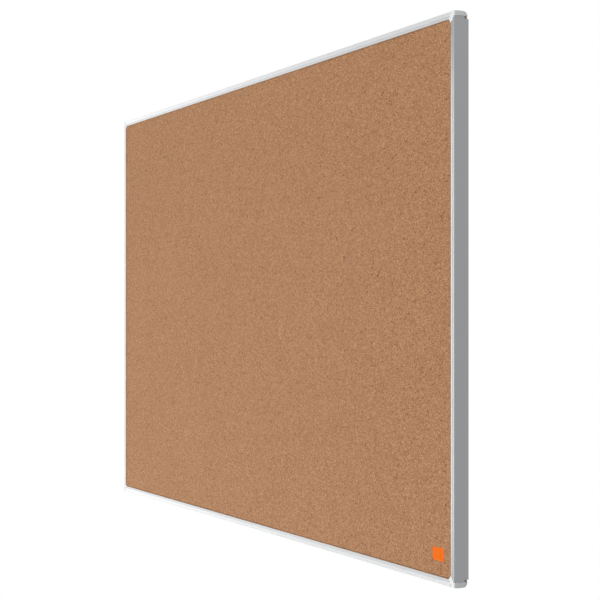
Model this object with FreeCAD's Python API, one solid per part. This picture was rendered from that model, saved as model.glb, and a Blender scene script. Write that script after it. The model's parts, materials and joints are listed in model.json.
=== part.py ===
import FreeCAD, Part
import math
import os
from FreeCAD import Vector

# Framed cork pin board hung on the wall by four interlocking clip pairs.
# The wall is the plane y = 0, the board's front faces -Y, +X is its width and +Z is up.
# The origin is the centre of the wall screw pattern, behind the middle of the board.

# driving sizes, in mm
board_width = 1220.0
board_height = 690.0
frame_depth = 20.0
wall_gap = 0.8              # between the frame's back and the wall

# panel: layers from the front
cork_thickness = 2.5
core_thickness = 8.6
backing_thickness = 0.5
cork_depth = 1.9            # cork face behind the frame's front plane
panel_edge = 2.0            # panel edge in from the frame's outer face

# rail section
lip_width = 8.35
lip_front = 0.15            # rail front behind the caps' front
wall_thickness = 1.5
flange_width = 13.5
flange_thickness = 1.2
chamber_width = 7.4
chamber_depth = 4.3
chamber_wall = 1.2
groove_width = 0.8
groove_depth = 0.5
groove_place = 4.5          # groove's outer edge, in from the frame's outer face
lip_slope = 0.35            # how far the inner band of the lip falls to its edge
edge_radius = 0.4

# corner caps
cap_crown = [               # depth behind the front, height above the frame's outer faces, corner radius
    (0.0, -0.1, 0.5),
    (0.4, 0.3, 0.9),
    (5.0, 0.7, 1.0),
    (11.0, 0.65, 1.4),
    (15.0, 0.45, 2.2),
    (17.5, -0.1, 4.0),
    (19.0, -0.9, 5.5),
    (19.8, -1.6, 6.0),
]
cap_nose = [(11.6, 9.4), (10.9, 10.9), (9.4, 11.6)]    # rounded tip over the cork: across, down
cap_leg = 5.5               # how far the cap's walls reach along each rail
cap_wall_inner = 1.8        # inner face of the cap's walls, in from the frame's outer face
cap_seam = 0.8              # open joint between the cap's front band and the rail's lip
notch_length = 3.2          # rail ends are relieved behind the caps, this far past them
notch_depth = 5.5
notch_bite = 0.2            # the relief cuts this far past the rail's wall

# corner keys and filler blocks, inside the rail chambers
key_thickness = 1.5
key_width = 3.1
key_leg = 45.0
block_leg = 20.0
block_play = 0.2
key_screw_radius = 1.4
key_screw_head = 2.6
key_screw_place = 32.0      # along the rail from the frame's corner
key_screw_inset = 1.8       # from the chamber's inner wall

# hanging clips
clip_metal = 1.5
clip_jog = 3.9              # offset of a tongue from its own plate
wall_clip_width = 60.0
board_clip_width = 50.0
wall_plate_height = 24.0
board_plate_height = 22.0
tongue_length = 10.0
clip_play = 0.5             # left below the board clip's tongue
clip_bend = 0.4             # inside radius of the bends
clip_corner = 3.0           # radius of the plates' corners
clip_spread = 440.0         # clip centres, each side of the middle
wall_hole_spread = 20.0     # wall screw holes, each side of a clip's centre
wall_hole_rise = 250.0      # wall screw rows, above and below the middle
wall_hole_drop = 22.0       # wall screw row below the seat of its clip
wall_hole_radius = 2.6
board_screw_spread = 16.0   # board screws, each side of a clip's centre
board_screw_rise = 12.0     # board screws above the foot of their plate
board_screw_radius = 1.6
board_screw_head = 3.4
board_screw_head_height = 1.9
board_screw_length = 8.5

# label and pads
label_width = 27.4
label_height = 16.2
label_corner = 2.0
label_thickness = 0.15
label_margin = 18.8         # from the lip's inner edges
pad_radius = 4.0
pad_inset = 5.0
fit_gap = 0.05              # between pieces that are slid or pressed together
overrun = 1.0               # how far a cutting tool runs past the face it cuts
same_place = 0.01           # places closer than this are one place

front_y = -(wall_gap + frame_depth)
panel_back = cork_depth + cork_thickness + core_thickness + backing_thickness
chamber_front = panel_back + flange_thickness
chamber_back = chamber_front + chamber_depth
chamber_inner = wall_thickness + chamber_width


def corner_point(across, down, depth):
    """A place measured in from the upper right corner of the frame and back from its front."""
    return Vector(board_width / 2 - across, front_y + depth, board_height / 2 - down)


def corner_prism(outline, near, far):
    """A prism through the frame, on an outline of (across, down) points at the upper right corner."""
    points = [corner_point(across, down, near) for across, down in outline]
    return Part.Face(Part.makePolygon(points + points[:1])).extrude(Vector(0, far - near, 0))


def corner_box(across, down, depth):
    """A box between pairs of (from, to) at the upper right corner."""
    (a0, a1), (b0, b1) = across, down
    return corner_prism([(a0, b0), (a1, b0), (a1, b1), (a0, b1)], *depth)


def round_rod(radius, start, direction, length):
    return Part.makeCylinder(radius, length, start, direction)


def mirror_across(shape):
    return shape.mirror(Vector(), Vector(1, 0, 0))


def mirror_down(shape):
    return shape.mirror(Vector(), Vector(0, 0, 1))


def turned_mitre(shape):
    """Swaps the two legs of a corner: mirrors the shape in the corner's mitre plane."""
    return shape.mirror(corner_point(0, 0, 0), Vector(1, 0, -1))


def key_screw_tool(extra):
    """A countersunk screw, from the rail's back face to the key; extra is added all round."""
    at = corner_point(chamber_inner - key_screw_inset, key_screw_place, frame_depth)
    head_height = key_screw_head - key_screw_radius
    inward = Vector(0, -1, 0)
    head = Part.makeCone(key_screw_head + extra, key_screw_radius + extra, head_height, at, inward)
    shank = round_rod(key_screw_radius + extra, at, inward, frame_depth - chamber_front - fit_gap)
    return head.fuse(shank).removeSplitter()


def rail_section():
    """The extrusion's outline as (in from the outer face, back from the front) points."""
    groove_end = groove_place + groove_width
    low = lip_front + groove_depth
    lip_edge = lip_front + lip_slope
    return [
        (0, lip_front), (groove_place, lip_front), (groove_place, low), (groove_end, low),
        (groove_end, lip_front), (lip_width, lip_edge), (lip_width, cork_depth),
        (wall_thickness, cork_depth), (wall_thickness, panel_back), (flange_width, panel_back),
        (flange_width, chamber_front), (chamber_inner + chamber_wall, chamber_front),
        (chamber_inner + chamber_wall, frame_depth), (0, frame_depth),
    ]


def make_right_rail():
    """Right-hand rail: hollow behind the panel, lip mitred for the caps, ends relieved at the back."""
    points = [corner_point(across, 0, depth) for across, depth in rail_section()]
    outer = Part.Face(Part.makePolygon(points + points[:1]))
    rail = outer.extrude(Vector(0, 0, -board_height))
    rounded = [edge for edge in rail.Edges
               if edge.Length > board_height - overrun
               and abs(edge.CenterOfMass.x - board_width / 2) < same_place
               and abs(edge.CenterOfMass.y - front_y - lip_front) < same_place]
    rail = rail.makeFillet(edge_radius, rounded)
    chamber = corner_box((wall_thickness, chamber_inner), (-overrun, board_height + overrun),
                         (chamber_front, chamber_back))
    out, inside, behind = -overrun, flange_width + overrun, frame_depth + overrun
    lip_end = cap_leg + cap_seam
    lip_waste = corner_prism([(out, out), (inside, out), (inside, inside + lip_end),
                              (out, lip_end - overrun)], out, cork_depth)
    mitre_waste = corner_prism([(out, out), (inside, out), (inside, inside + fit_gap),
                                (cap_leg, cap_leg + fit_gap), (out, cap_leg + fit_gap)], cork_depth, behind)
    relief = (out, cap_leg + notch_length)
    side_notch = corner_box((out, wall_thickness + notch_bite), relief, (frame_depth - notch_depth, behind))
    back_notch = corner_box((out, inside), relief, (chamber_back, behind))
    waste = [lip_waste, mitre_waste, side_notch, back_notch, key_screw_tool(fit_gap)]
    rail = rail.cut([chamber] + waste + [mirror_down(tool) for tool in waste])
    return rail.removeSplitter()


def make_top_rail():
    """Top rail: the same extrusion and end cuts, at the board's width."""
    half = corner_box((-overrun, flange_width + overrun), (-overrun, board_height / 2),
                      (-overrun, frame_depth + overrun))
    end = turned_mitre(make_right_rail().common(half))
    reach = board_width / 2 - board_height / 2
    section = [face for face in end.Faces
               if abs(face.CenterOfMass.x - reach) < same_place and abs(face.normalAt(0, 0).x) > 0.99]
    middle = section[0].extrude(Vector(-reach, 0, 0))
    right_half = end.fuse(middle)
    return right_half.fuse(mirror_across(right_half)).removeSplitter()


def crown_section(depth, proud, radius):
    """The cap's outline across the corner at one depth: two faces and the round between them."""
    far = cap_leg + lip_width + overrun
    middle = radius * (1 - math.sqrt(0.5)) - proud
    places = [(-proud, far), (-proud, radius - proud), (middle, middle), (radius - proud, -proud),
              (far, -proud), (far, far)]
    side_end, side_start, bend, top_start, top_end, inside = [corner_point(*place, depth) for place in places]
    return Part.Wire([Part.makeLine(side_end, side_start), Part.Arc(side_start, bend, top_start).toShape(),
                      Part.makeLine(top_start, top_end), Part.makeLine(top_end, inside),
                      Part.makeLine(inside, side_end)])


def make_corner_cap():
    """Moulded cap: a mitre band on the front, two walls round the corner, a solid crowned back."""
    out = -overrun          # outside the crowned surface, which trims the cap
    band_reach = lip_width + cap_leg
    band = ([(out, out), (cap_leg, out), (cap_leg, 0), (band_reach, lip_width)] + cap_nose
            + [(lip_width, band_reach), (0, cap_leg), (out, cap_leg)])
    inner = cap_wall_inner
    walls = [(out, out), (cap_leg, out), (cap_leg, inner), (inner, inner), (inner, cap_leg), (out, cap_leg)]
    solid_from = panel_back + 2 * fit_gap
    plate = corner_prism(band, 0, cork_depth)
    skirt = corner_prism(walls, cork_depth, solid_from)
    back = corner_box((out, cap_leg), (out, cap_leg), (solid_from, cap_crown[-1][0]))
    sections = [crown_section(*row) for row in cap_crown]
    crown = Part.makeLoft(sections[:2], True, True).fuse(Part.makeLoft(sections[1:], True))
    return plate.fuse([skirt, back]).common(crown).removeSplitter()


def l_plate(outer, width, leg, near, far):
    """An L lying in the frame's plane, its outer edges this far in and its legs ending at leg."""
    outline = [(outer, outer), (leg, outer), (leg, outer + width), (outer + width, outer + width),
               (outer + width, leg), (outer, leg)]
    return corner_prism(outline, near, far)


def make_corner_key():
    """Flat L that joins two rails inside their chambers."""
    near = chamber_front + fit_gap
    key = l_plate(cap_leg + 2 * fit_gap, key_width, key_leg, near, near + key_thickness)
    screw = key_screw_tool(fit_gap / 2)
    return key.cut([screw, turned_mitre(screw)])


def make_corner_block():
    """Fibreboard filler that packs the chambers' ends and holds the key down."""
    across = wall_thickness + 2 * block_play, chamber_inner - block_play
    down = cap_leg + block_play, block_leg
    depth = chamber_front + block_play, chamber_back - block_play
    leg = corner_box(across, down, depth)
    block = leg.fuse(turned_mitre(leg)).removeSplitter()
    room = cap_leg, block_leg + overrun
    key_back = chamber_front + key_thickness + 2 * fit_gap
    return block.cut(corner_box(room, room, (depth[0] - overrun, key_back)))


def make_key_screws():
    """The countersunk screws of all four corners, two to a key."""
    one = key_screw_tool(0)
    right = [one, turned_mitre(one)]
    right += [mirror_down(screw) for screw in right]
    return Part.makeCompound(right + [mirror_across(screw) for screw in right])


def panel_layer(near, thickness):
    reach = (panel_edge, board_width - panel_edge), (panel_edge, board_height - panel_edge)
    return corner_box(*reach, (near, near + thickness))


def seat_heights():
    """The heights at which the board hangs on its clips: lower pair, upper pair."""
    return [side * wall_hole_rise + wall_hole_drop for side in (-1, 1)]


def board_screw_places():
    for seat in seat_heights():
        for side in (-1, 1):
            for along in (-1, 1):
                yield Vector(side * clip_spread + along * board_screw_spread,
                             front_y + panel_back + clip_metal, seat + clip_metal + board_screw_rise)


def board_screw_shank(place, extra):
    """The part of a board screw that goes through the clip into the core; extra is added all round."""
    return round_rod(board_screw_radius + extra, place, Vector(0, -1, 0), board_screw_length)


def board_screw(place):
    head = round_rod(board_screw_head, place, Vector(0, 1, 0), board_screw_head_height)
    return board_screw_shank(place, 0).fuse(head).removeSplitter()


def bent_strip(outline, width, middle):
    """A Z-shaped strip: an outline of eight (y, z) points carried across, both bends rounded."""
    points = [Vector(middle - width / 2, y, z) for y, z in outline]
    strip = Part.Face(Part.makePolygon(points + points[:1])).extrude(Vector(width, 0, 0))
    bends = ((outline[2::4], clip_bend), (outline[3::4], clip_bend + clip_metal / 2))
    for corners, radius in bends:
        edges = [line for line in strip.Edges
                 if line.Length > width - same_place
                 and any((line.CenterOfMass - Vector(middle, y, z)).Length < same_place for y, z in corners)]
        strip = strip.makeFillet(radius, edges)
    plate_end = outline[0][1]
    plate_corners = [line for line in strip.Edges
                     if abs(line.Length - clip_metal) < same_place
                     and abs(line.CenterOfMass.z - plate_end) < same_place]
    return strip.makeFillet(clip_corner, plate_corners)


def make_wall_clip(side, seat):
    """Clip screwed to the wall; its tongue stands up in front of the board clip's."""
    bend_top = seat - tongue_length
    bend_foot = bend_top - clip_metal
    foot = bend_top - wall_plate_height
    outline = [(0, foot), (-clip_metal, foot), (-clip_metal, bend_foot),
               (-clip_jog - clip_metal, bend_foot), (-clip_jog - clip_metal, seat),
               (-clip_jog, seat), (-clip_jog, bend_top), (0, bend_top)]
    clip = bent_strip(outline, wall_clip_width, side * clip_spread)
    for along in (-1, 1):
        centre = Vector(side * clip_spread + along * wall_hole_spread, overrun, seat - wall_hole_drop)
        clip = clip.cut(round_rod(wall_hole_radius, centre, Vector(0, -1, 0), clip_metal + 2 * overrun))
    return clip


def make_board_clip(side, seat, holes):
    """Clip screwed to the panel's back; its tongue hangs down behind the wall clip's."""
    plate_front = front_y + panel_back
    plate_back = plate_front + clip_metal
    tongue = plate_front + clip_jog
    top = seat + clip_metal + board_plate_height
    foot = seat - tongue_length + clip_play
    outline = [(plate_front, top), (plate_back, top), (plate_back, seat + clip_metal),
               (tongue + clip_metal, seat + clip_metal), (tongue + clip_metal, foot),
               (tongue, foot), (tongue, seat), (plate_front, seat)]
    clip = bent_strip(outline, board_clip_width, side * clip_spread)
    return clip.cut(holes)


def make_corner_label():
    """Plain rounded label stuck on the cork near its lower right corner."""
    across, down = lip_width + label_margin, board_height - lip_width - label_margin
    label = corner_box((across, across + label_width), (down - label_height, down),
                       (cork_depth - label_thickness, cork_depth))
    upright = [line for line in label.Edges if abs(line.Length - label_thickness) < same_place]
    return label.makeFillet(label_corner, upright)


def make_bumper_pads():
    """Felt dots on the back of the frame that keep it off the wall."""
    x_out, z_out = board_width / 2 - pad_inset, board_height / 2 - pad_inset
    places = [(x, z) for x in (-x_out, x_out) for z in (-wall_hole_rise, wall_hole_rise)]
    places += [(0, -z_out), (0, z_out)]
    return Part.makeCompound([round_rod(pad_radius, Vector(x, -wall_gap, z), Vector(0, 1, 0), wall_gap)
                              for x, z in places])


def build():
    """Every piece of the board and its hanging set, by name."""
    screw_holes = [board_screw_shank(place, fit_gap) for place in board_screw_places()]
    backing_near = panel_back - backing_thickness
    pieces = {
        "cork_sheet": panel_layer(cork_depth, cork_thickness),
        "core_board": panel_layer(cork_depth + cork_thickness, core_thickness).cut(screw_holes),
        "backing_sheet": panel_layer(backing_near, backing_thickness).cut(screw_holes),
        "corner_label": make_corner_label(),
        "corner_key_screws": make_key_screws(),
        "board_clip_screws": Part.makeCompound([board_screw(place) for place in board_screw_places()]),
        "bumper_pads": make_bumper_pads(),
        "rail_right": make_right_rail(),
        "rail_top": make_top_rail(),
    }
    pieces["rail_left"] = mirror_across(pieces["rail_right"])
    pieces["rail_bottom"] = mirror_down(pieces["rail_top"])
    corner_makers = {"corner_cap": make_corner_cap, "corner_key": make_corner_key,
                     "corner_block": make_corner_block}
    for name, make in corner_makers.items():
        piece = make()
        pieces[name + "_upper_right"] = piece
        pieces[name + "_upper_left"] = mirror_across(piece)
        pieces[name + "_lower_right"] = mirror_down(piece)
        pieces[name + "_lower_left"] = mirror_across(mirror_down(piece))
    for row, seat in zip(("lower", "upper"), seat_heights()):
        for side, hand in ((-1, "left"), (1, "right")):
            pieces[f"wall_clip_{row}_{hand}"] = make_wall_clip(side, seat)
            pieces[f"board_clip_{row}_{hand}"] = make_board_clip(side, seat, screw_holes)
    return pieces


os.makedirs("parts", exist_ok=True)
for name, shape in build().items():
    shape.exportStep(f"parts/{name}.step")
    print(f"{name}: {len(shape.Solids)} solid, valid {shape.isValid()}, {shape.Volume / 1000:.2f} cm3")
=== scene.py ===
import json
import math

import bmesh
import bpy
import numpy as np
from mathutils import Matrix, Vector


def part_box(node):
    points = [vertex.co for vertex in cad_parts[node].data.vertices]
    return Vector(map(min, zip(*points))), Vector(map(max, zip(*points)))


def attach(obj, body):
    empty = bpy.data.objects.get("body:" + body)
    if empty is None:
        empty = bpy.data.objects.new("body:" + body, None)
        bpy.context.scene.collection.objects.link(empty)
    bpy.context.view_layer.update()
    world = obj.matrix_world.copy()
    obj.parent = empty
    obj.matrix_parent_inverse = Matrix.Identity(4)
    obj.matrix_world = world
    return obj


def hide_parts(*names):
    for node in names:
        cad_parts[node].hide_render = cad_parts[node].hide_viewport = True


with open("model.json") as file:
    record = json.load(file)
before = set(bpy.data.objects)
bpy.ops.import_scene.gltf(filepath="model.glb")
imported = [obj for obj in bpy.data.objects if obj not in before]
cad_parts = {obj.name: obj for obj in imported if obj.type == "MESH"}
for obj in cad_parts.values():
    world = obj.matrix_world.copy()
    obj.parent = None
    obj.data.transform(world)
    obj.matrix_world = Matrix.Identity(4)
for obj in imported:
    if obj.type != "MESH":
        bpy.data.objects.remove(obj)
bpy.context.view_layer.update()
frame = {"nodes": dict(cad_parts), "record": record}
scene = bpy.context.scene
scene.view_settings.view_transform = "Standard"
frameHalf = {"X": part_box("rail_right")[1][0], "Z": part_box("rail_top")[1][2]}    # outer faces from the middle
print("frame loaded:", len(frame["nodes"]), "nodes")

# The camera stands level, well round to the board's right, and looks along its face.
view = {
    "stand": (2.28447, -1.00281, -0.02323),
    "turn": 65.052,      # degrees round from square-on
    "lens": 97.08,
    "rise": 0.03114,     # lens shift that keeps the uprights upright
}
cameraData = bpy.data.cameras.new("camera")
cameraData.lens = view["lens"]
cameraData.shift_y = view["rise"]
cameraData.dof.use_dof = False
camera = bpy.data.objects.new("camera", cameraData)
camera.location = view["stand"]
camera.rotation_euler = (math.pi / 2, 0, math.radians(view["turn"]))
scene.collection.objects.link(camera)
scene.camera = camera


columnStep, rowStep = 240, 300     # spacing in the node editor


def arrange(nodes, columns, groups):
    # puts nodes in columns from left to right, and each group in a titled frame
    for x, column in enumerate(columns):
        for y, node in enumerate(column):
            node.location = (x * columnStep, -y * rowStep)
    for title, members in groups.items():
        box = nodes.new("NodeFrame")
        box.label = title
        for node in members:
            node.parent = box


def newMaterial(name):
    material = bpy.data.materials.new(name)
    material.use_nodes = True
    material.node_tree.nodes.clear()
    return material, material.node_tree.nodes, material.node_tree.links


corkLook = {
    "granule": 0.0010,           # height, in metres
    "pressed": 0.62,             # a granule's height, as a share of its width
    "clump": 0.0024,             # granules that lie together and share a tone
    "bark": 0.0020,
    "tones": ((0.0, (0.27, 0.124, 0.054)), (0.3, (0.37, 0.177, 0.080)),
              (0.7, (0.45, 0.228, 0.108)), (1.0, (0.55, 0.300, 0.154))),
    "barkColour": (0.21, 0.092, 0.042),
    "barkShare": 0.965,          # a cell whose number is above this is partly bark
    "barkEdge": 0.02,            # and this far above, all bark
    "bend": 0.0006,              # how far a granule's edge wanders, in metres
    "bends": 0.6,                # how often, per granule
    "gapShade": 0.8,             # tone where granules meet
    "gapWidth": 0.12,            # as a share of a granule
    "clumpShade": (0.93, 1.07),
    "driftShade": (0.96, 1.04),
    "driftScale": 7,
    "gritScale": 2600,
    "gritShare": 0.35,           # grit's height, as a share of a granule's
    "roughness": 0.84,
    "specular": 0.2,
    "sheen": 0.04,
    "relief": 0.00018,           # in metres
    "reliefStrength": 0.9,
}


def corkMaterial(look=corkLook):
    material, nodes, links = newMaterial("pressedCork")
    place = nodes.new("ShaderNodeTexCoord")
    place.label = "place on the board"
    spread = nodes.new("ShaderNodeMapping")
    spread.label = "granules pressed out sideways"
    wobble = nodes.new("ShaderNodeTexNoise")
    wobble.label = "uneven granule edges"
    bend = nodes.new("ShaderNodeMixRGB")
    bend.label = "push the cells about"
    granules = nodes.new("ShaderNodeTexVoronoi")
    granules.label = "granules"
    gaps = nodes.new("ShaderNodeTexVoronoi")
    gaps.label = "distance to a granule's edge"
    pick = nodes.new("ShaderNodeSeparateColor")
    pick.label = "one number per granule"
    tones = nodes.new("ShaderNodeValToRGB")
    tones.label = "cork browns"
    gapShade = nodes.new("ShaderNodeMapRange")
    gapShade.label = "darker where granules meet"
    clumps = nodes.new("ShaderNodeTexVoronoi")
    clumps.label = "clumps"
    clumpPick = nodes.new("ShaderNodeSeparateColor")
    clumpPick.label = "one number per clump"
    clumpShade = nodes.new("ShaderNodeMapRange")
    clumpShade.label = "lighter and darker clumps"
    specks = nodes.new("ShaderNodeTexVoronoi")
    specks.label = "bark cells"
    speckPick = nodes.new("ShaderNodeSeparateColor")
    speckPick.label = "which cells hold bark"
    speckMask = nodes.new("ShaderNodeMapRange")
    speckMask.label = "only a few"
    drift = nodes.new("ShaderNodeTexNoise")
    drift.label = "slow colour drift over the sheet"
    driftShade = nodes.new("ShaderNodeMapRange")
    driftShade.label = "a few percent"
    withGaps = nodes.new("ShaderNodeMixRGB")
    withGaps.label = "granules and gaps"
    withClumps = nodes.new("ShaderNodeMixRGB")
    withClumps.label = "clumps added"
    withSpecks = nodes.new("ShaderNodeMixRGB")
    withSpecks.label = "bark added"
    withDrift = nodes.new("ShaderNodeMixRGB")
    withDrift.label = "drift added"
    grit = nodes.new("ShaderNodeTexNoise")
    grit.label = "fine grit"
    height = nodes.new("ShaderNodeMath")
    height.label = "granule tops and grit"
    relief = nodes.new("ShaderNodeBump")
    relief.label = "granular relief"
    shader = nodes.new("ShaderNodeBsdfPrincipled")
    shader.label = "dry cork"
    result = nodes.new("ShaderNodeOutputMaterial")
    result.label = "cork"
    arrange(nodes, ((place,), (spread,), (wobble, drift, grit), (bend,), (granules, gaps, clumps, specks),
                    (pick, gapShade, clumpPick, speckPick, driftShade), (tones, clumpShade, speckMask),
                    (withGaps, height), (withClumps, relief), (withSpecks,), (withDrift,), (shader,),
                    (result,)),
            {"granules": (spread, wobble, bend, granules, gaps, pick, tones, gapShade, withGaps),
             "clumps": (clumps, clumpPick, clumpShade, withClumps),
             "bark": (specks, speckPick, speckMask, withSpecks),
             "drift": (drift, driftShade, withDrift), "relief": (grit, height, relief)})
    spread.inputs["Scale"].default_value = (look["pressed"], 1, 1)
    wobble.inputs["Scale"].default_value = look["bends"] / look["granule"]
    wobble.inputs["Detail"].default_value = 2
    bend.blend_type = "ADD"
    bend.inputs["Fac"].default_value = look["bend"]
    granules.inputs["Scale"].default_value = 1 / look["granule"]
    gaps.feature = "DISTANCE_TO_EDGE"
    gaps.inputs["Scale"].default_value = 1 / look["granule"]
    for tone in look["tones"][2:]:          # the ramp starts with two stops
        tones.color_ramp.elements.new(0.5)
    for element, (at, colour) in zip(tones.color_ramp.elements, look["tones"]):
        element.position = at
        element.color = (*colour, 1)
    gapShade.inputs["From Max"].default_value = look["gapWidth"]
    gapShade.inputs["To Min"].default_value = look["gapShade"]
    clumps.inputs["Scale"].default_value = 1 / look["clump"]
    clumpShade.inputs["To Min"].default_value = look["clumpShade"][0]
    clumpShade.inputs["To Max"].default_value = look["clumpShade"][1]
    specks.inputs["Scale"].default_value = 1 / look["bark"]
    speckMask.inputs["From Min"].default_value = look["barkShare"]
    speckMask.inputs["From Max"].default_value = look["barkShare"] + look["barkEdge"]
    drift.inputs["Scale"].default_value = look["driftScale"]
    drift.inputs["Detail"].default_value = 3
    driftShade.inputs["To Min"].default_value = look["driftShade"][0]
    driftShade.inputs["To Max"].default_value = look["driftShade"][1]
    for mix in (withGaps, withClumps, withDrift):
        mix.blend_type = "MULTIPLY"
        mix.inputs["Fac"].default_value = 1
    withSpecks.inputs["Color2"].default_value = (*look["barkColour"], 1)
    grit.inputs["Scale"].default_value = look["gritScale"]
    grit.inputs["Detail"].default_value = 4
    height.operation = "MULTIPLY_ADD"
    height.inputs[1].default_value = look["gritShare"]
    relief.inputs["Distance"].default_value = look["relief"]
    relief.inputs["Strength"].default_value = look["reliefStrength"]
    shader.inputs["Roughness"].default_value = look["roughness"]
    shader.inputs["Specular IOR Level"].default_value = look["specular"]
    shader.inputs["Sheen Weight"].default_value = look["sheen"]
    links.new(place.outputs["Object"], spread.inputs["Vector"])
    links.new(spread.outputs["Vector"], wobble.inputs["Vector"])
    links.new(spread.outputs["Vector"], bend.inputs["Color1"])
    links.new(wobble.outputs["Color"], bend.inputs["Color2"])
    links.new(bend.outputs["Color"], granules.inputs["Vector"])
    links.new(bend.outputs["Color"], gaps.inputs["Vector"])
    links.new(bend.outputs["Color"], clumps.inputs["Vector"])
    links.new(spread.outputs["Vector"], specks.inputs["Vector"])
    links.new(place.outputs["Object"], drift.inputs["Vector"])
    links.new(place.outputs["Object"], grit.inputs["Vector"])
    links.new(granules.outputs["Color"], pick.inputs["Color"])
    links.new(pick.outputs["Red"], tones.inputs["Fac"])
    links.new(gaps.outputs["Distance"], gapShade.inputs["Value"])
    links.new(clumps.outputs["Color"], clumpPick.inputs["Color"])
    links.new(clumpPick.outputs["Blue"], clumpShade.inputs["Value"])
    links.new(specks.outputs["Color"], speckPick.inputs["Color"])
    links.new(speckPick.outputs["Green"], speckMask.inputs["Value"])
    links.new(drift.outputs["Fac"], driftShade.inputs["Value"])
    links.new(tones.outputs["Color"], withGaps.inputs["Color1"])
    links.new(gapShade.outputs["Result"], withGaps.inputs["Color2"])
    links.new(withGaps.outputs["Color"], withClumps.inputs["Color1"])
    links.new(clumpShade.outputs["Result"], withClumps.inputs["Color2"])
    links.new(speckMask.outputs["Result"], withSpecks.inputs["Fac"])
    links.new(withClumps.outputs["Color"], withSpecks.inputs["Color1"])
    links.new(withSpecks.outputs["Color"], withDrift.inputs["Color1"])
    links.new(driftShade.outputs["Result"], withDrift.inputs["Color2"])
    links.new(grit.outputs["Fac"], height.inputs[0])
    links.new(gapShade.outputs["Result"], height.inputs[2])
    links.new(height.outputs["Value"], relief.inputs["Height"])
    links.new(withDrift.outputs["Color"], shader.inputs["Base Color"])
    links.new(relief.outputs["Normal"], shader.inputs["Normal"])
    links.new(shader.outputs["BSDF"], result.inputs["Surface"])
    return material


railLook = {
    "colour": (0.86, 0.868, 0.875),
    "innerBand": 0.0049,         # where the inner band starts, in from the frame's outer face
    "innerSheen": 0.85,          # its roughness, as a share of the outer band's
    "innerPaintedShade": {"Z": 0.70, "X": 0.98},    # painted shade on it, as a share of its colour: long rails, then uprights
    "roughness": 0.36,
    "drawn": 0.75,               # how strongly the drawn surface stretches a highlight
    "lineDepth": 0.00002,        # in metres
}
metalLook = {
    "lineTone": (0.95, 1.05),    # tone of the drawn lines
    "lineRough": 0.05,           # roughness added and taken away by the lines
    "cloudRough": 0.03,          # and by handling
    "cloudScale": 35,
    "reliefStrength": 0.5,
    "turn": 0.25,                # of a whole turn, from the lines to the way a highlight stretches
    "bandStep": 0.00015,         # half the width of the step between the bands, in metres
}


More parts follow.
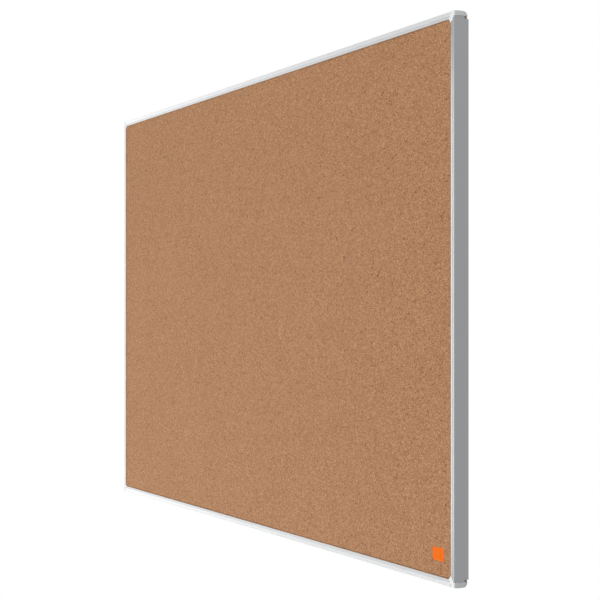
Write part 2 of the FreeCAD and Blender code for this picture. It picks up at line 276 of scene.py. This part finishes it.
def metalMaterial(name, stretch, colour, roughness, lineDepth, drawn=0.0, bandAxis="Z", bandEdge=0.0,
                  bandSheen=1.0, paintedBandShade=1.0):
    # satin metal with fine lines drawn out along one direction; stretch is the pattern's scale on X, Y, Z;
    # nearer the middle than bandEdge along bandAxis, roughness is multiplied by bandSheen, and colour by
    # the last argument, a painted shade that darkens the inner band
    material, nodes, links = newMaterial(name)
    place = nodes.new("ShaderNodeTexCoord")
    place.label = "place on the piece"
    grain = nodes.new("ShaderNodeMapping")
    grain.label = "drawn out one way"
    lines = nodes.new("ShaderNodeTexNoise")
    lines.label = "die lines"
    cloud = nodes.new("ShaderNodeTexNoise")
    cloud.label = "handling marks"
    lineTone = nodes.new("ShaderNodeMapRange")
    lineTone.label = "faint tone of the lines"
    lineRough = nodes.new("ShaderNodeMapRange")
    lineRough.label = "sheen varies with the lines"
    cloudRough = nodes.new("ShaderNodeMapRange")
    cloudRough.label = "sheen varies with handling"
    roughSum = nodes.new("ShaderNodeMath")
    roughSum.label = "roughness"
    split = nodes.new("ShaderNodeSeparateXYZ")
    split.label = "which way across the rail"
    reach = nodes.new("ShaderNodeMath")
    reach.label = "distance from the middle"
    band = nodes.new("ShaderNodeMapRange")
    band.label = "inner band or outer band"
    bandRough = nodes.new("ShaderNodeMath")
    bandRough.label = "inner band is smoother"
    # painted shade: the inner band's colour is multiplied down, most on the long rails, in place of the darker
    # reflection it shows there
    paintedShadeMask = nodes.new("ShaderNodeMapRange")
    paintedShadeMask.label = "painted shade on the inner band"
    paintedShadeTint = nodes.new("ShaderNodeMixRGB")
    paintedShadeTint.label = "inner band painted darker"
    tint = nodes.new("ShaderNodeMixRGB")
    tint.label = "metal colour"
    relief = nodes.new("ShaderNodeBump")
    relief.label = "line relief"
    along = nodes.new("ShaderNodeCombineXYZ")
    along.label = "direction of the lines"
    shader = nodes.new("ShaderNodeBsdfPrincipled")
    shader.label = "satin metal"
    result = nodes.new("ShaderNodeOutputMaterial")
    result.label = name
    arrange(nodes, ((place,), (grain, cloud, split), (lines, cloudRough, reach),
                    (lineTone, lineRough, relief, band, paintedShadeMask), (tint, roughSum, along),
                    (bandRough, paintedShadeTint), (shader,), (result,)),
            {"drawn lines": (along, grain, lines, lineTone, lineRough, relief, tint),
             "handling": (cloud, cloudRough, roughSum),
             "bands": (split, reach, band, bandRough, paintedShadeMask, paintedShadeTint)})
    grain.inputs["Scale"].default_value = stretch
    lines.inputs["Scale"].default_value = 1
    lines.inputs["Detail"].default_value = 3
    cloud.inputs["Scale"].default_value = metalLook["cloudScale"]
    cloud.inputs["Detail"].default_value = 4
    lineTone.inputs["To Min"].default_value = metalLook["lineTone"][0]
    lineTone.inputs["To Max"].default_value = metalLook["lineTone"][1]
    lineRough.inputs["To Min"].default_value = roughness - metalLook["lineRough"]
    lineRough.inputs["To Max"].default_value = roughness + metalLook["lineRough"]
    cloudRough.inputs["To Min"].default_value = -metalLook["cloudRough"]
    cloudRough.inputs["To Max"].default_value = metalLook["cloudRough"]
    roughSum.operation = "ADD"
    reach.operation = "ABSOLUTE"
    for step in (band, paintedShadeMask):
        step.inputs["From Min"].default_value = bandEdge - metalLook["bandStep"]
        step.inputs["From Max"].default_value = bandEdge + metalLook["bandStep"]
    band.inputs["To Min"].default_value = bandSheen
    band.inputs["To Max"].default_value = 1
    bandRough.operation = "MULTIPLY"
    paintedShadeMask.inputs["To Min"].default_value = paintedBandShade
    paintedShadeMask.inputs["To Max"].default_value = 1
    paintedShadeTint.blend_type = "MULTIPLY"
    paintedShadeTint.inputs["Fac"].default_value = 1
    tint.blend_type = "MULTIPLY"
    tint.inputs["Fac"].default_value = 1
    tint.inputs["Color1"].default_value = (*colour, 1)
    relief.inputs["Distance"].default_value = lineDepth
    relief.inputs["Strength"].default_value = metalLook["reliefStrength"]
    for axis, scale in zip("XYZ", stretch):
        along.inputs[axis].default_value = float(scale == min(stretch))
    shader.inputs["Metallic"].default_value = 1
    shader.inputs["Anisotropic"].default_value = drawn
    shader.inputs["Anisotropic Rotation"].default_value = metalLook["turn"]
    links.new(place.outputs["Object"], grain.inputs["Vector"])
    links.new(place.outputs["Object"], cloud.inputs["Vector"])
    links.new(grain.outputs["Vector"], lines.inputs["Vector"])
    links.new(lines.outputs["Fac"], lineTone.inputs["Value"])
    links.new(lines.outputs["Fac"], lineRough.inputs["Value"])
    links.new(lines.outputs["Fac"], relief.inputs["Height"])
    links.new(cloud.outputs["Fac"], cloudRough.inputs["Value"])
    links.new(lineTone.outputs["Result"], tint.inputs["Color2"])
    links.new(lineRough.outputs["Result"], roughSum.inputs[0])
    links.new(cloudRough.outputs["Result"], roughSum.inputs[1])
    links.new(along.outputs["Vector"], shader.inputs["Tangent"])
    links.new(place.outputs["Object"], split.inputs["Vector"])
    links.new(split.outputs[bandAxis], reach.inputs[0])
    links.new(reach.outputs["Value"], band.inputs["Value"])
    links.new(roughSum.outputs["Value"], bandRough.inputs[0])
    links.new(band.outputs["Result"], bandRough.inputs[1])
    links.new(reach.outputs["Value"], paintedShadeMask.inputs["Value"])
    links.new(tint.outputs["Color"], paintedShadeTint.inputs["Color1"])
    links.new(paintedShadeMask.outputs["Result"], paintedShadeTint.inputs["Color2"])
    links.new(paintedShadeTint.outputs["Color"], shader.inputs["Base Color"])
    links.new(bandRough.outputs["Value"], shader.inputs["Roughness"])
    links.new(relief.outputs["Normal"], shader.inputs["Normal"])
    links.new(shader.outputs["BSDF"], result.inputs["Surface"])
    return material


mottleLook = {
    "spread": (0.7, 1.3),        # the two noises added up: where the tone is all dark, and all light
    "sheen": 0.06,               # roughness added on the dark parts and taken from the light ones
    "fineStep": 7,               # scale of the fine grain, over the mottle's
    "reliefStrength": 0.6,
}


def mottledMaterial(name, light, dark, scale, detail, roughness, relief, stretch=(1, 1, 1),
                    specular=0.5, sheen=0.0):
    # two tones broken up by noise, with matching relief: moulded plastic, paper, fibreboard, felt
    material, nodes, links = newMaterial(name)
    place = nodes.new("ShaderNodeTexCoord")
    place.label = "place on the piece"
    grain = nodes.new("ShaderNodeMapping")
    grain.label = "grain direction"
    coarse = nodes.new("ShaderNodeTexNoise")
    coarse.label = "coarse mottle"
    fine = nodes.new("ShaderNodeTexNoise")
    fine.label = "fine grain"
    both = nodes.new("ShaderNodeMath")
    both.label = "mottle with grain"
    spread = nodes.new("ShaderNodeMapRange")
    spread.label = "full range of tone"
    tone = nodes.new("ShaderNodeMixRGB")
    tone.label = "dark to light"
    sheenRange = nodes.new("ShaderNodeMapRange")
    sheenRange.label = "uneven sheen"
    bump = nodes.new("ShaderNodeBump")
    bump.label = "surface relief"
    shader = nodes.new("ShaderNodeBsdfPrincipled")
    shader.label = name + " body"
    result = nodes.new("ShaderNodeOutputMaterial")
    result.label = name
    arrange(nodes, ((place,), (grain,), (coarse, fine), (both,), (spread, sheenRange, bump),
                    (tone,), (shader,), (result,)),
            {"pattern": (grain, coarse, fine, both, spread), "colour": (tone,),
             "surface": (sheenRange, bump)})
    grain.inputs["Scale"].default_value = stretch
    coarse.inputs["Scale"].default_value = scale
    coarse.inputs["Detail"].default_value = detail
    fine.inputs["Scale"].default_value = scale * mottleLook["fineStep"]
    fine.inputs["Detail"].default_value = 2
    both.operation = "ADD"
    for span in (spread, sheenRange):
        span.inputs["From Min"].default_value = mottleLook["spread"][0]
        span.inputs["From Max"].default_value = mottleLook["spread"][1]
    tone.inputs["Color1"].default_value = (*dark, 1)
    tone.inputs["Color2"].default_value = (*light, 1)
    sheenRange.inputs["To Min"].default_value = roughness + mottleLook["sheen"]
    sheenRange.inputs["To Max"].default_value = roughness - mottleLook["sheen"]
    bump.inputs["Distance"].default_value = relief
    bump.inputs["Strength"].default_value = mottleLook["reliefStrength"]
    shader.inputs["Specular IOR Level"].default_value = specular
    shader.inputs["Sheen Weight"].default_value = sheen
    links.new(place.outputs["Object"], grain.inputs["Vector"])
    links.new(grain.outputs["Vector"], coarse.inputs["Vector"])
    links.new(grain.outputs["Vector"], fine.inputs["Vector"])
    links.new(coarse.outputs["Fac"], both.inputs[0])
    links.new(fine.outputs["Fac"], both.inputs[1])
    links.new(both.outputs["Value"], spread.inputs["Value"])
    links.new(both.outputs["Value"], sheenRange.inputs["Value"])
    links.new(both.outputs["Value"], bump.inputs["Height"])
    links.new(spread.outputs["Result"], tone.inputs["Fac"])
    links.new(tone.outputs["Color"], shader.inputs["Base Color"])
    links.new(sheenRange.outputs["Result"], shader.inputs["Roughness"])
    links.new(bump.outputs["Normal"], shader.inputs["Normal"])
    links.new(shader.outputs["BSDF"], result.inputs["Surface"])
    return material


def railMaterial(name, stretch, axis):
    # axis points across the rail, from the middle of the board
    return metalMaterial(name, stretch, railLook["colour"], railLook["roughness"], railLook["lineDepth"],
                         railLook["drawn"], axis, frameHalf[axis] - railLook["innerBand"],
                         railLook["innerSheen"], railLook["innerPaintedShade"][axis])


materials = {
    "cork": corkMaterial(),
    "railAcross": railMaterial("anodisedAcross", (4, 2600, 2600), "Z"),
    "railUpright": railMaterial("anodisedUpright", (2600, 2600, 4), "X"),
    "clip": metalMaterial("zincSheet", stretch=(900, 900, 60), colour=(0.55, 0.56, 0.58), roughness=0.38,
                          lineDepth=0.00004),
    "screw": metalMaterial("zincScrew", stretch=(1500, 1500, 1200), colour=(0.62, 0.60, 0.52),
                           roughness=0.3, lineDepth=0.00002),
    "cap": mottledMaterial("capPlastic", light=(0.80, 0.81, 0.81), dark=(0.76, 0.77, 0.77), scale=900,
                           detail=2, roughness=0.42, relief=0.00003),
    "fibreboard": mottledMaterial("fibreboard", light=(0.62, 0.40, 0.23), dark=(0.44, 0.26, 0.14),
                                  scale=420, detail=5, roughness=0.85, relief=0.0002, specular=0.2),
    "backing": mottledMaterial("backingPaper", light=(0.56, 0.54, 0.50), dark=(0.48, 0.46, 0.42),
                               scale=60, detail=6, roughness=0.8, relief=0.00006, stretch=(1, 1, 3),
                               specular=0.25),
    "label": mottledMaterial("labelVinyl", light=(0.86, 0.160, 0.004), dark=(0.81, 0.140, 0.002),
                             scale=300, detail=2, roughness=0.6, relief=0.00001, specular=0.08),
    "felt": mottledMaterial("feltDot", light=(0.16, 0.16, 0.165), dark=(0.06, 0.06, 0.065), scale=1600,
                            detail=6, roughness=0.95, relief=0.0004, specular=0.1, sheen=0.5),
}
# by the start of a node's name: material here, and the record's slot
finishOf = {
    "rail_top": ("railAcross", "rail_aluminium"), "rail_bottom": ("railAcross", "rail_aluminium"),
    "rail_left": ("railUpright", "rail_aluminium"), "rail_right": ("railUpright", "rail_aluminium"),
    "corner_cap": ("cap", "cap_plastic"), "corner_key_screws": ("screw", "screw_steel"),
    "corner_key": ("clip", "key_steel"), "corner_block": ("fibreboard", "fibreboard"),
    "core_board": ("fibreboard", "fibreboard"), "backing_sheet": ("backing", "backing"),
    "cork_sheet": ("cork", "cork"), "corner_label": ("label", "label"),
    "board_clip_screws": ("screw", "screw_steel"), "board_clip": ("clip", "clip_steel"),
    "wall_clip": ("clip", "clip_steel"), "bumper_pads": ("felt", "felt"),
}


def finishFor(nodeName):
    return finishOf[max((start for start in finishOf if nodeName.startswith(start)), key=len)]


for nodeName, node in frame["nodes"].items():
    node.data.materials.clear()
    node.data.materials.append(materials[finishFor(nodeName)[0]])
print("materials made:", len(materials))


sharpAngle = 35      # edges sharper than this stay crisp, in degrees
weldGap = 1e-7       # points nearer than this are one, in metres


def addObject(name, verts, faces, smooth=True):
    mesh = bpy.data.meshes.new(name)
    mesh.from_pydata(np.asarray(verts, float).tolist(), [], faces)
    mesh.validate()
    if smooth:
        mesh.shade_smooth()
        mesh.set_sharp_from_angle(angle=math.radians(sharpAngle))
    piece = bpy.data.objects.new(name, mesh)
    scene.collection.objects.link(piece)
    return piece


def ringFaces(rings, around):
    # quads between neighbouring rings of `around` points, each ring closed on itself
    ring, step = np.meshgrid(np.arange(rings - 1), np.arange(around), indexing="ij")
    after = (step + 1) % around
    a, b = ring * around + step, ring * around + after
    return np.stack([a, b, b + around, a + around], -1).reshape(-1, 4)


def bodyOf(nodeName):
    return next(body for body, names in frame["record"]["behaviour"]["bodies"].items() if nodeName in names)


def standFor(piece, nodeName):
    # the piece takes the place, finish and body of a CAD node
    finish, slotName = finishFor(nodeName)
    piece.data.materials.clear()
    piece.data.materials.append(materials[finish])
    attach(piece, bodyOf(nodeName))
    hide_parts(nodeName)


def ringPiece(name, nodeName, points, centres=((0, 0, 0),)):
    # points is an array (rings, around, 3): each ring joins the next, and the first and the last ring
    # close to a single point. The shape is repeated at every centre, and stands for the node's solids.
    rings, around = points.shape[:2]
    verts = np.asarray(centres, float)[:, None, None, :] + points
    first = np.arange(len(centres))[:, None, None] * rings * around
    faces = (first + ringFaces(rings, around)).reshape(-1, 4).tolist()
    piece = addObject(name, verts.reshape(-1, 3), faces)
    edit = bmesh.new()
    edit.from_mesh(piece.data)
    bmesh.ops.remove_doubles(edit, verts=edit.verts, dist=weldGap)
    bmesh.ops.recalc_face_normals(edit, faces=edit.faces)
    edit.to_mesh(piece.data)
    edit.free()
    standFor(piece, nodeName)


def turned(radius, depth, turn):
    # a point is radius * (cos, 0, sin) of its angle, at depth along Y
    return np.stack(np.broadcast_arrays(radius * np.cos(turn), depth, radius * np.sin(turn)), -1)


def wholeTurn(around):
    # equal angles once round, as one row
    return np.linspace(0, 2 * np.pi, around, endpoint=False)[None, :]


screwLook = {
    "around": 48,
    "headRings": 22, "shankRings": 60,
    "slot": 0.20,          # cross recess: half a slot's width, as a share of the head's radius
    "reach": 0.66,         # and how far out it goes
    "edge": 0.06,          # how softly the recess starts
    "recess": 0.0010,      # its depth
    "pitch": 0.0013,       # thread
    "thread": 0.14,        # its height, as a share of the shank's radius
    "tip": 0.0018,         # length of the pointed end
}


def screwPoints(headRadius, top, dome, rim, shankRadius, end, look=screwLook):
    # Head: depth is the top less a dome that falls with the radius squared, less the recess where the
    # smaller of |x| and |z| is within a slot and the larger within its reach. rim lists the head's
    # (radius, depth) from its edge to the shank. Shank: the radius falls by the thread once per pitch and
    # once per turn, and to nothing over the tip.
    turn = wholeTurn(look["around"])
    out = np.linspace(0, 1, look["headRings"])[:, None]
    x, z = abs(out * np.cos(turn)), abs(out * np.sin(turn))
    inSlot = np.clip((look["slot"] - np.minimum(x, z)) / look["edge"] + 0.5, 0, 1)
    inReach = np.clip((look["reach"] - np.maximum(x, z)) / look["edge"] + 0.5, 0, 1)
    head = turned(out * headRadius, top - dome * out ** 2 - look["recess"] * inSlot * inReach, turn)
    radius, depth = np.asarray(rim, float).T[..., None]
    edge = turned(radius, depth, turn)
    depth = np.linspace(rim[-1][1], end, look["shankRings"])[:, None]
    wave = 0.5 + 0.5 * np.cos(2 * np.pi * depth / look["pitch"] - turn)
    taper = np.clip((depth - end) / look["tip"], 0, 1)
    shank = turned(shankRadius * (1 - look["thread"] * wave) * taper, depth, turn)
    return np.concatenate([head, edge, shank])


boardScrew = {
    "head": 0.0034, "height": 0.0019, "shank": 0.0016,    # radius, height and shank radius
    "dome": 0.0007,
    "crown": 0.94,         # radius of the domed top, as a share of the head's
    "shoulder": 0.00105,   # where the head's side starts, below its top
    "spread": 0.032,       # between the two screws of a clip
}


def boardScrews(look=boardScrew):
    low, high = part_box("board_clip_screws")
    outer, seat = high[0] - look["head"], high[1] - look["height"]
    rim = ((look["head"], high[1] - look["shoulder"]), (look["head"], seat), (look["shank"], seat))
    centres = [(side * across, 0, row) for side in (-1, 1) for across in (outer, outer - look["spread"])
               for row in (low[2] + look["head"], high[2] - look["head"])]
    ringPiece("board_clip_screws_turned", "board_clip_screws",
              screwPoints(look["head"] * look["crown"], high[1], look["dome"], rim, look["shank"], low[1]),
              centres)


keyScrew = {
    "head": 0.0026, "shank": 0.0014,    # radii
    "along": 0.032,        # along the rail, from the frame's corner
}


def keyScrews(look=keyScrew):
    low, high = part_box("corner_key_screws")
    foot = high[1] - look["head"] + look["shank"]       # the countersink slopes at 45 degrees
    spots = ((high[0] - look["head"], frameHalf["Z"] - look["along"]),
             (frameHalf["X"] - look["along"], high[2] - look["head"]))
    ringPiece("corner_key_screws_turned", "corner_key_screws",
              screwPoints(look["head"], high[1], 0, ((look["head"], high[1]), (look["shank"], foot)),
                          look["shank"], low[1]),
              [(side * x, 0, rise * z) for side in (-1, 1) for rise in (-1, 1) for x, z in spots])


boardScrews()
keyScrews()
print("screws turned")

padLook = {
    "radius": 0.004,
    "rise": 0.25,          # side pads, above and below the middle
    "around": 40,
    "ragged": 0.012,       # how far the outline wavers, as a share of the radius
    "waves": ((7, 0.3, 0), (11, 0.2, 1)),    # round the outline: how many, share of the waver, start
    # from the back to the front: share of the radius, share of the thickness
    "profile": ((0, 0), (0.5, 0.02), (0.93, 0.06), (1, 0.25), (1, 0.8), (0.95, 1), (0, 1)),
}


def feltDots(look=padLook):
    # a short cylinder with eased edges and a crowned back: radius and depth follow the profile, and the
    # radius is drawn in by a steady share and by sine waves of the angle
    low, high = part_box("bumper_pads")
    turn = wholeTurn(look["around"])
    share, depth = np.array(look["profile"]).T[..., None]
    waver = sum((part * np.sin(count * turn + start) for count, part, start in look["waves"]), 0.5)
    outline = 1 - look["ragged"] * waver
    points = turned(share * look["radius"] * outline, high[1] + depth * (low[1] - high[1]), turn)
    sides = [(side * (high[0] - look["radius"]), 0, rise * look["rise"]) for side in (-1, 1)
             for rise in (-1, 1)]
    ends = [(0, 0, rise * (high[2] - look["radius"])) for rise in (-1, 1)]
    ringPiece("bumper_pads_felt", "bumper_pads", points, sides + ends)


labelLook = {
    "around": 96, "rings": 16,
    "firstRing": 0.05,     # where the rings start, in half turns of a sine
    "corner": 9.0,         # power of the outline: more is squarer
    "edge": 14,            # power of the edge: more is sharper
}


def plainLabel(look=labelLook):
    # a blank sticker: its outline is a superellipse drawn in towards the middle by share, and its front
    # falls to the cork as share to a high power, so that only the edge is eased
    low, high = (np.array(corner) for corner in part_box("corner_label"))
    middle, half = (low + high) / 2, (high - low) / 2
    turn = wholeTurn(look["around"])
    rings = np.sin(np.linspace(look["firstRing"], 0.5, look["rings"]) * np.pi)
    share = np.concatenate([[0], rings, [0]])[:, None]
    power = look["corner"]
    outline = (abs(np.cos(turn)) ** power + abs(np.sin(turn)) ** power) ** (-1 / power)
    front = low[1] + (high[1] - low[1]) * share ** look["edge"]
    front[-1] = high[1]
    ringPiece("corner_label_sticker", "corner_label",
              np.stack(np.broadcast_arrays(middle[0] + half[0] * share * outline * np.cos(turn), front,
                                           middle[2] + half[2] * share * outline * np.sin(turn)), -1))


feltDots()
plainLabel()
print("felt dots and label made")

corkFace = {
    "across": 360, "up": 200,     # grid
    "relief": 0.00005,            # depth, in metres
    "waves": 46,
    "wavelength": (0.006, 0.016),    # shortest and longest, in metres
    "flatEdge": 0.006,            # the relief fades out over this
    "seed": 5,
}


def corkSheet(look=corkFace):
    # a slab whose front face dips by relief where a sum of sine waves, with seeded directions and
    # wavelengths, is low; the dip fades out at the slab's edges, and four walls and one back face close it
    low, high = (np.array(corner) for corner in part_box("cork_sheet"))
    x, z = np.meshgrid(np.linspace(low[0], high[0], look["across"] + 1),
                       np.linspace(low[2], high[2], look["up"] + 1))
    draw = np.random.default_rng(look["seed"])
    heading = draw.uniform(0, 2 * np.pi, look["waves"])
    pace = 2 * np.pi / draw.uniform(*look["wavelength"], look["waves"])
    start = draw.uniform(0, 2 * np.pi, look["waves"])
    # the total's own spread is the root of half the number of waves; dip covers two spreads either way
    total = np.zeros_like(x)
    for angle, rate, phase in zip(heading, pace, start):
        total += np.sin(rate * (x * np.cos(angle) + z * np.sin(angle)) + phase)
    dip = np.clip(0.5 - total / (4 * math.sqrt(look["waves"] / 2)), 0, 1)
    edge = np.minimum.reduce([x - low[0], high[0] - x, z - low[2], high[2] - z])
    y = low[1] + look["relief"] * dip * np.clip(edge / look["flatEdge"], 0, 1)
    spot = np.arange(x.size).reshape(x.shape)
    faces = np.stack([spot[:-1, :-1], spot[:-1, 1:], spot[1:, 1:], spot[1:, :-1]], -1).reshape(-1, 4).tolist()
    border = np.concatenate([spot[0, :-1], spot[:-1, -1], spot[-1, :0:-1], spot[:0:-1, 0]])
    front = np.stack([x, y, z], -1).reshape(-1, 3)
    back = front[border] * (1, 0, 1) + (0, high[1], 0)
    rim = x.size + np.arange(len(border))
    faces += np.stack([border, rim, np.roll(rim, -1), np.roll(border, -1)], -1).tolist()
    faces.append(rim[::-1].tolist())
    standFor(addObject("cork_sheet_face", np.concatenate([front, back]), faces), "cork_sheet")


corkSheet()
print("cork face made")

softenLook = {
    # by slot, how far an edge is rounded, in metres
    "rounding": {"rail_aluminium": 0.00012, "cap_plastic": 0.00025, "clip_steel": 0.00022},
    "crease": 28,          # the least angle that is rounded, in degrees
    "flat": 0.5,           # faces nearer to one plane than this, in degrees, are joined
    "merge": 2e-6,         # points nearer than this are one, in metres
    "segments": 2,
    "weight": 100,         # how much a large face outweighs a small one in the shading
}


def softened(nodeName, rounding):
    # a copy of a CAD node with its flat faces joined again and its sharp edges rounded off
    source = frame["nodes"][nodeName]
    edit = bmesh.new()
    edit.from_mesh(source.data)
    bmesh.ops.remove_doubles(edit, verts=edit.verts, dist=softenLook["merge"])
    bmesh.ops.dissolve_limit(edit, angle_limit=math.radians(softenLook["flat"]), verts=edit.verts,
                              edges=edit.edges)
    bmesh.ops.dissolve_degenerate(edit, dist=softenLook["merge"], edges=edit.edges)
    bmesh.ops.recalc_face_normals(edit, faces=edit.faces)
    mesh = bpy.data.meshes.new(nodeName + "_soft")
    edit.to_mesh(mesh)
    edit.free()
    mesh.shade_smooth()
    piece = bpy.data.objects.new(nodeName + "_soft", mesh)
    scene.collection.objects.link(piece)
    bevel = piece.modifiers.new("roundedEdges", "BEVEL")
    bevel.width = rounding
    bevel.segments = softenLook["segments"]
    bevel.limit_method = "ANGLE"
    bevel.angle_limit = math.radians(softenLook["crease"])
    bevel.use_clamp_overlap = True
    flat = piece.modifiers.new("flatFacesStayFlat", "WEIGHTED_NORMAL")
    flat.mode = "FACE_AREA"
    flat.weight = softenLook["weight"]
    standFor(piece, nodeName)


for nodeName in sorted(frame["nodes"]):
    slotName = finishFor(nodeName)[1]
    if slotName in softenLook["rounding"]:
        softened(nodeName, softenLook["rounding"][slotName])
print("rails, caps and clips rounded off")


# The stage and the light.
stageLook = {
    "white": 1.0,
    "floorDrop": 0.9,      # below the board's middle, in metres
    "reach": 40.0,         # from the middle to the floor's edge and to the backdrop, in metres
    "around": 48, "rings": 14,
    "lowest": -0.1,        # the backdrop's first and last ring, in half turns of climb
    "highest": 0.499,
    "sky": (0.985, 0.995, 1.0), "skyStrength": 0.345,
}


def glowMaterial(name, strength):
    material, nodes, links = newMaterial(name)
    glow = nodes.new("ShaderNodeEmission")
    glow.label = "even white"
    result = nodes.new("ShaderNodeOutputMaterial")
    result.label = name
    arrange(nodes, ((glow,), (result,)), {"stage": (glow,)})
    glow.inputs["Strength"].default_value = strength
    links.new(glow.outputs["Emission"], result.inputs["Surface"])
    return material


def stageOnly(piece):
    # seen by the camera, but neither lights nor is reflected by the board
    piece.data.materials.append(glowMaterial(piece.name, stageLook["white"]))
    piece.visible_diffuse = piece.visible_glossy = piece.visible_shadow = False
    piece.visible_transmission = False


reach, drop = stageLook["reach"], -stageLook["floorDrop"]
floor = addObject("floor", [(-reach, -reach, drop), (reach, -reach, drop), (reach, reach, drop),
                            (-reach, reach, drop)], [(0, 1, 2, 3)], False)
stageOnly(floor)
# backdrop: a dome, each point at reach from the middle by its turn and its climb
turn, climb = np.meshgrid(wholeTurn(stageLook["around"]),
                          np.linspace(stageLook["lowest"], stageLook["highest"], stageLook["rings"]) * np.pi)
dome = np.stack([np.cos(climb) * np.cos(turn), np.cos(climb) * np.sin(turn), np.sin(climb)], -1) * reach
backdrop = addObject("backdrop", dome.reshape(-1, 3), ringFaces(*turn.shape).tolist(), False)
stageOnly(backdrop)

world = bpy.data.worlds.new("studio")
world.use_nodes = True
world.node_tree.nodes["Background"].inputs["Color"].default_value = (*stageLook["sky"], 1)
world.node_tree.nodes["Background"].inputs["Strength"].default_value = stageLook["skyStrength"]
scene.world = world

softboxes = {
    # name: (place, aimed at, width, height, power in watts)
    "longLeft": ((-2.3, -1.1, -0.02), (0.2, 0, -0.02), 2.2, 1.6, 10.1),
    "highLeft": ((-1.9, -1.75, 2.5), (0.5, 0, 0.1), 1.6, 1.8, 13),
    "lowLeft": ((-1.8, -1.75, -2.2), (0.2, 0, -0.1), 1.6, 1.8, 17),
    "rightHigh": ((2.4, -0.6, 2.6), (0.6, 0, 0), 1.6, 1.6, 24),
    "frontLow": ((0.0, -2.4, -2.1), (-0.1, 0, -0.1), 2.2, 1.2, 54),
    "frontHigh": ((1.3, -2.6, 2.2), (0.2, 0, 0), 2.2, 1.2, 38),
    "behind": ((-2.3, 1.7, 0.0), (-0.2, 0, 0), 2.2, 1.6, 26),
}
for name, (place, aim, width, tall, power) in softboxes.items():
    lamp = bpy.data.lights.new(name, "AREA")
    lamp.shape = "RECTANGLE"
    lamp.size, lamp.size_y, lamp.energy = width, tall, power
    box = bpy.data.objects.new(name, lamp)
    direction = np.subtract(aim, place)
    flat = math.hypot(direction[0], direction[1])
    box.location = place
    box.rotation_euler = (math.atan2(flat, -direction[2]), 0,
                          math.atan2(-direction[0], direction[1]))
    scene.collection.objects.link(box)
print("stage and lights set")
